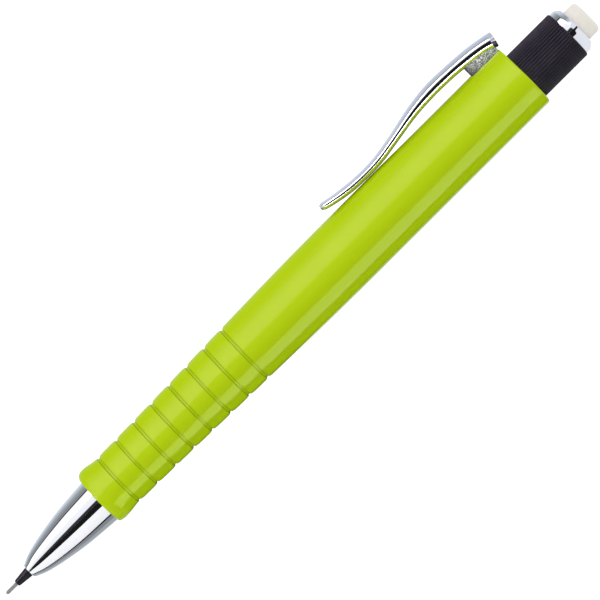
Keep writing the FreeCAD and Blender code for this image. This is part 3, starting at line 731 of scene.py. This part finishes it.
def ramp_of(nodes, stops):
    """Colour ramp from (position, (r, g, b)) stops."""
    ramp = nodes.new("ShaderNodeValToRGB")
    while len(ramp.color_ramp.elements) < len(stops):
        ramp.color_ramp.elements.new(0.5)
    for element, (position, colour) in zip(ramp.color_ramp.elements, stops):
        element.position = position
        element.color = (*colour, 1)
    return ramp


def math_node(nodes, links, operation, first, second=None):
    """Output of a math node on numbers or sockets."""
    node = nodes.new("ShaderNodeMath")
    node.operation = operation
    for socket, value in zip(node.inputs, (first, second)):
        if isinstance(value, (int, float)):
            socket.default_value = value
        elif value is not None:
            links.new(value, socket)
    return node.outputs[0]


def mix_node(nodes, links, factor, first, second):
    """Output of a colour mix of colours or sockets."""
    node = nodes.new("ShaderNodeMix")
    node.data_type = "RGBA"
    for socket, value in ((node.inputs[0], factor), (node.inputs[6], first), (node.inputs[7], second)):
        if isinstance(value, (tuple, float)):
            socket.default_value = value
        else:
            links.new(value, socket)
    return node.outputs[2]


# What a reflection meets, by the angle round the pencil's axis: 0 in front, 90 above, 180 behind
TUNNEL = [(0, (0.003, 0.003, 0.0035)), (12, (0.003, 0.003, 0.0035)), (15, (0.092, 0.093, 0.096)),
          (43, (0.098, 0.099, 0.100)), (48, (0.92, 0.66, 1.02)), (60, (0.92, 0.66, 1.02)),
          (71, (0.105, 0.105, 0.107)), (78, (0.100, 0.100, 0.102)), (79.5, (0.003, 0.003, 0.003)),
          (86, (0.003, 0.003, 0.003)), (88, (0.036, 0.037, 0.039)), (91, (0.036, 0.037, 0.039)),
          (93, (0.014, 0.0145, 0.015)), (98, (0.026, 0.028, 0.029)), (118, (0.036, 0.040, 0.042)),
          (132, (0.052, 0.057, 0.065)), (158, (0.070, 0.074, 0.082)), (180, (0.034, 0.036, 0.039))]
END_GLOW = (0.076, 0.080, 0.087, 1)    # what reflections towards the pencil's two ends meet
TUNNEL_GAIN = 11.0
FILL = 1.2


def make_world():
    """White to the camera, an even fill for matt surfaces, and a tunnel of soft panels for glossy ones."""
    world = bpy.data.worlds.new("studio_tent")
    bpy.context.scene.world = world
    world.use_nodes = True
    nodes, links = world.node_tree.nodes, world.node_tree.links
    where = nodes.new("ShaderNodeTexCoord")
    split = nodes.new("ShaderNodeSeparateXYZ")
    links.new(where.outputs["Generated"], split.inputs["Vector"])
    front = math_node(nodes, links, "MULTIPLY", split.outputs["Y"], -1.0)
    angle = math_node(nodes, links, "ARCTAN2", split.outputs["Z"], front)
    share = math_node(nodes, links, "DIVIDE", angle, math.pi)
    tunnel = ramp_of(nodes, [(degrees / 180, colour) for degrees, colour in TUNNEL])
    links.new(share, tunnel.inputs["Fac"])
    ends = math_node(nodes, links, "ABSOLUTE", split.outputs["X"])
    near_end = ramp_of(nodes, [(0.82, (0, 0, 0)), (0.95, (1, 1, 1))])
    links.new(ends, near_end.inputs["Fac"])
    glossy = mix_node(nodes, links, near_end.outputs["Color"], tunnel.outputs["Color"], END_GLOW)
    path = nodes.new("ShaderNodeLightPath")
    gain = nodes.new("ShaderNodeBackground")
    gain.inputs["Strength"].default_value = TUNNEL_GAIN
    links.new(glossy, gain.inputs["Color"])
    fill = nodes["Background"]
    fill.inputs["Color"].default_value = (1.0, 1.0, 1.0, 1)
    fill.inputs["Strength"].default_value = FILL
    choose = nodes.new("ShaderNodeMixShader")
    links.new(path.outputs["Is Glossy Ray"], choose.inputs[0])
    links.new(fill.outputs[0], choose.inputs[1])
    links.new(gain.outputs[0], choose.inputs[2])
    links.new(choose.outputs[0], nodes["World Output"].inputs["Surface"])
    world.cycles.sampling_method = "MANUAL"
    world.cycles.sample_map_resolution = 2048


CARD_GAIN = 4.0
FRONT_EDGE, BACK_EDGE, FAR = -15.4, 45.0, 3000.0
CONE_CARDS_END, BARREL_CARDS_END, REAR_CARDS_END = 26, 131, 186
BLACK_FLAG, PALE_CARD = (0.003, 0.003, 0.003), (0.125, 0.128, 0.140)


def oblong(start, end, near, far):
    """Corners of an oblong between two stations and two distances across."""
    return [(start, near), (end, near), (end, far), (start, far)]


def floor_card(name, outline, colour, z=0.0003, matt=False):
    """Flat panel on the floor from (station, across) corners, which only reflections or matt surfaces see."""
    mesh = bpy.data.meshes.new(name)
    corners = [place(at, across, 0) for at, across in outline]
    mesh.from_pydata([(p.x, p.y, z) for p in corners], [], [tuple(range(len(corners)))])
    card = bpy.data.objects.new(name, mesh)
    bpy.context.scene.collection.objects.link(card)
    material, nodes, links, shader = node_material(name + "_light")
    grain = noise_texture(nodes, links, 300.0, 1.0)
    tone = ramp_of(nodes, [(0.3, tuple(0.97 * c for c in colour)), (0.7, colour)])
    links.new(grain.outputs["Fac"], tone.inputs["Fac"])
    shader.inputs["Base Color"].default_value = (0, 0, 0, 1)
    shader.inputs["Specular IOR Level"].default_value = 0.0
    links.new(tone.outputs["Color"], shader.inputs["Emission Color"])
    shader.inputs["Emission Strength"].default_value = CARD_GAIN
    card.data.materials.append(material)
    card.visible_camera = False
    card.visible_diffuse = matt
    card.visible_glossy = not matt
    card.visible_shadow = False
    card.visible_transmission = False
    return material


def make_cards():
    """Black flags round the pencil and pale strips beside it, as a studio uses for chrome."""
    floor_card("flag_front", oblong(-FAR, FAR, -FAR, FRONT_EDGE), BLACK_FLAG)
    floor_card("flag_back", oblong(-FAR, FAR, BACK_EDGE, FAR), BLACK_FLAG)
    floor_card("flag_nose", oblong(-FAR, -40.0, FRONT_EDGE, BACK_EDGE), BLACK_FLAG)
    floor_card("card_rear", oblong(REAR_CARDS_END, FAR, FRONT_EDGE, BACK_EDGE), PALE_CARD)
    start, end = CONE_CARDS_END, BARREL_CARDS_END
    floor_card("strip_front", [(start, -11.6), (end, -12.3), (end, -6.0), (start, -5.4)], (3.0, 3.0, 3.0))
    path = [(-4, -1.05), (3.2, -1.5), (10.1, -2.07), (16, -2.85), (21.5, -3.42), (CONE_CARDS_END, -3.75)]
    half = 0.36
    edge = [(at, y - half) for at, y in path] + [(at, y + half) for at, y in reversed(path)]
    floor_card("strip_line", edge, (0.004, 0.004, 0.004))
    for k, (inner, outer, tone) in enumerate(((0.0, 1.6, 0.070), (1.6, 4.5, 0.110), (4.5, 40.0, 0.150))):
        near = [(at, y + half + inner) for at, y in path]
        far = [(at, y + half + outer) for at, y in reversed(path)]
        floor_card(f"strip_under_{k}", near + far, (tone * 0.94, tone, tone * 1.06))
    floor_card("strip_rear", oblong(end, REAR_CARDS_END, FRONT_EDGE, 4), (0.225, 0.230, 0.242))
    floor_card("flag_under", [(start, -5.0), (end, -5.6), (end, 40), (start, 40)], (0.002, 0.002, 0.002))


def make_low_flag():
    """Grey card along the pencil's foot. It shades the barrel's rounded corner, but not the floor under it."""
    outline = [(26, -10.8), (133, -11.6), (133, -6.9), (26, -6.1)]
    material = floor_card("flag_low", outline, (0.11, 0.11, 0.11), 0.0002, True)
    nodes, links = material.node_tree.nodes, material.node_tree.links
    side = nodes.new("ShaderNodeNewGeometry")
    clear = nodes.new("ShaderNodeBsdfTransparent")
    pick = nodes.new("ShaderNodeMixShader")
    links.new(side.outputs["Backfacing"], pick.inputs[0])
    links.new(nodes["Principled BSDF"].outputs[0], pick.inputs[1])
    links.new(clear.outputs[0], pick.inputs[2])
    output = next(node for node in nodes if node.type == "OUTPUT_MATERIAL")
    links.new(pick.outputs[0], output.inputs["Surface"])


def make_camera():
    """Long lens level with the pencil's axis, rolled so that the eraser points up and right."""
    distance, azimuth, roll = 0.83, math.radians(1.6), math.radians(44.9)
    seen_width, sensor = 0.10676, 36.0    # metres across the frame at the pencil, and the sensor's millimetres
    centre = place(74.06, 0, 0.18)
    back = Vector((math.sin(azimuth), -math.cos(azimuth), 0))
    level = Vector((math.cos(azimuth), math.sin(azimuth), 0))
    up = Vector((0, 0, 1))
    right = level * math.cos(roll) - up * math.sin(roll)
    high = level * math.sin(roll) + up * math.cos(roll)
    data = bpy.data.cameras.new("camera")
    data.sensor_width = sensor
    data.lens = sensor * distance / seen_width
    data.clip_start, data.clip_end = 0.05, 50.0
    camera = bpy.data.objects.new("camera", data)
    bpy.context.scene.collection.objects.link(camera)
    camera.matrix_world = Matrix((
        (right.x, high.x, back.x, centre.x + back.x * distance),
        (right.y, high.y, back.y, centre.y + back.y * distance),
        (right.z, high.z, back.z, centre.z + back.z * distance),
        (0, 0, 0, 1)))
    bpy.context.scene.camera = camera


dress_cad_nodes()
make_camera()
make_world()
make_floor()
make_cards()
make_low_flag()
make_barrel()
make_nose_cone()
make_tip_sleeve()
make_lead()
make_knob()
make_collar()
make_eraser()
make_clip()
make_clip_foot()
make_spring("tip_spring_coil", "tip_spring", 0.13, 6)
make_spring("chuck_spring_coil", "chuck_spring", 0.15, 7)
bpy.context.scene.view_settings.view_transform = "Standard"
